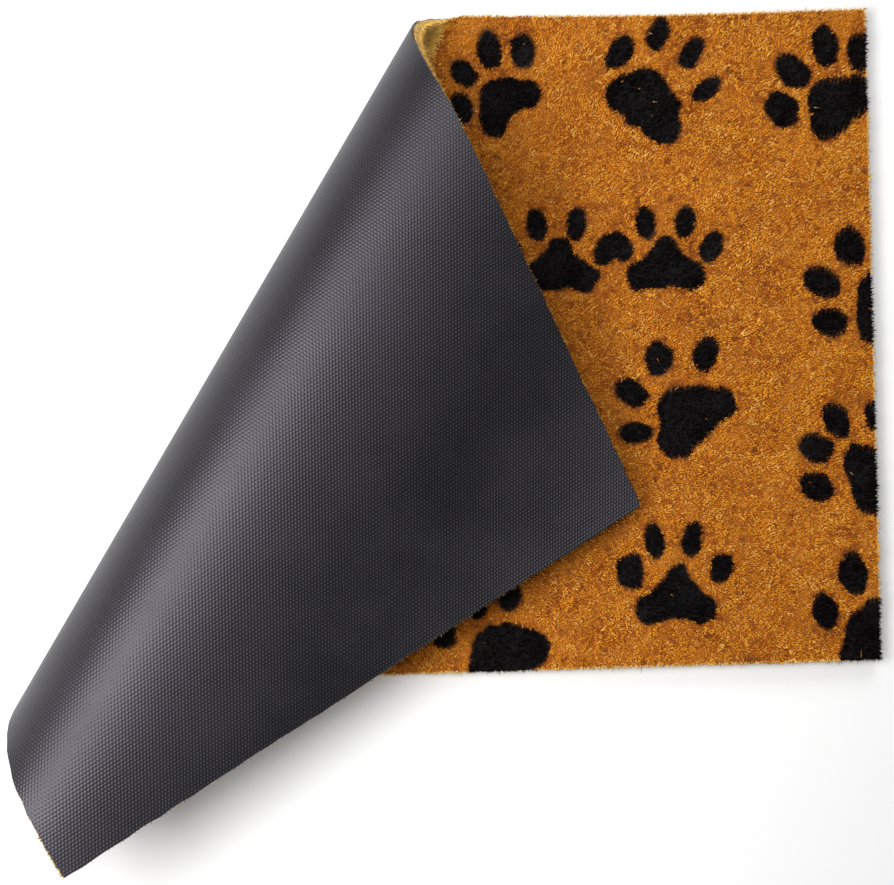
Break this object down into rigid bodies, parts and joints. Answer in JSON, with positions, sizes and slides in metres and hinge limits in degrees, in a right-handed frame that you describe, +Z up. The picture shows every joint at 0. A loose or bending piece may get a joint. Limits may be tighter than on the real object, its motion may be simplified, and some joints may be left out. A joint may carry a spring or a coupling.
{
  "type": "coir doormat",
  "caption": "Rectangular coir doormat on a rubber backing, with one end folded over on a slant and unrolling through a row of fold hinges.",
  "frame": {"origin": "centre of the unfolded mat's underside, on the floor", "axes": "+Z up, out of the pile; +X towards the end that stays flat; +Y towards the long side that the flap's corner points at"},
  "size_m": [0.599, 0.5614, 0.0956],
  "materials": {
    "backing": "matte, embossed weave",
    "pile": "coarse upright coir fibre"
  },
  "bodies": {
    "base": {"backing_base": "backing", "pile_base": "pile"},
    "strip_1": {"backing_strip_1": "backing", "pile_strip_1": "pile"},
    "strip_2": {"backing_strip_2": "backing", "pile_strip_2": "pile"},
    "strip_3": {"backing_strip_3": "backing", "pile_strip_3": "pile"},
    "strip_4": {"backing_strip_4": "backing", "pile_strip_4": "pile"},
    "strip_5": {"backing_strip_5": "backing", "pile_strip_5": "pile"},
    "strip_6": {"backing_strip_6": "backing", "pile_strip_6": "pile"},
    "strip_7": {"backing_strip_7": "backing", "pile_strip_7": "pile"},
    "flap": {"backing_flap": "backing", "pile_flap": "pile"}
  },
  "joints": [
    {"name": "fold_1", "type": "hinge", "parent": "base", "child": "strip_1", "pos_m": [-0.04136, 0.02436, 0], "axis": [-0.5075, -0.8616, 0], "range_deg": [0, 24.5]},
    {"name": "fold_2", "type": "hinge", "parent": "strip_1", "child": "strip_2", "pos_m": [-0.04881, 0.02875, 0.00394], "axis": [-0.5075, -0.8616, 0], "range_deg": [0, 24.5]},
    {"name": "fold_3", "type": "hinge", "parent": "strip_2", "child": "strip_3", "pos_m": [-0.05559, 0.03275, 0.013], "axis": [-0.5075, -0.8616, 0], "range_deg": [0, 24.5]},
    {"name": "fold_4", "type": "hinge", "parent": "strip_3", "child": "strip_4", "pos_m": [-0.06036, 0.03556, 0.03169], "axis": [-0.5075, -0.8616, 0], "range_deg": [0, 24.5]},
    {"name": "fold_5", "type": "hinge", "parent": "strip_4", "child": "strip_5", "pos_m": [-0.0573, 0.03376, 0.05695], "axis": [-0.5075, -0.8616, 0], "range_deg": [0, 24.5]},
    {"name": "fold_6", "type": "hinge", "parent": "strip_5", "child": "strip_6", "pos_m": [-0.04504, 0.02653, 0.0793], "axis": [-0.5075, -0.8616, 0], "range_deg": [0, 24.5]},
    {"name": "fold_7", "type": "hinge", "parent": "strip_6", "child": "strip_7", "pos_m": [-0.02733, 0.0161, 0.09264], "axis": [-0.5075, -0.8616, 0], "range_deg": [0, 24.5]},
    {"name": "fold_8", "type": "hinge", "parent": "strip_7", "child": "flap", "pos_m": [-0.01029, 0.00606, 0.09559], "axis": [-0.5075, -0.8616, 0], "range_deg": [0, 24.5]}
  ]
}
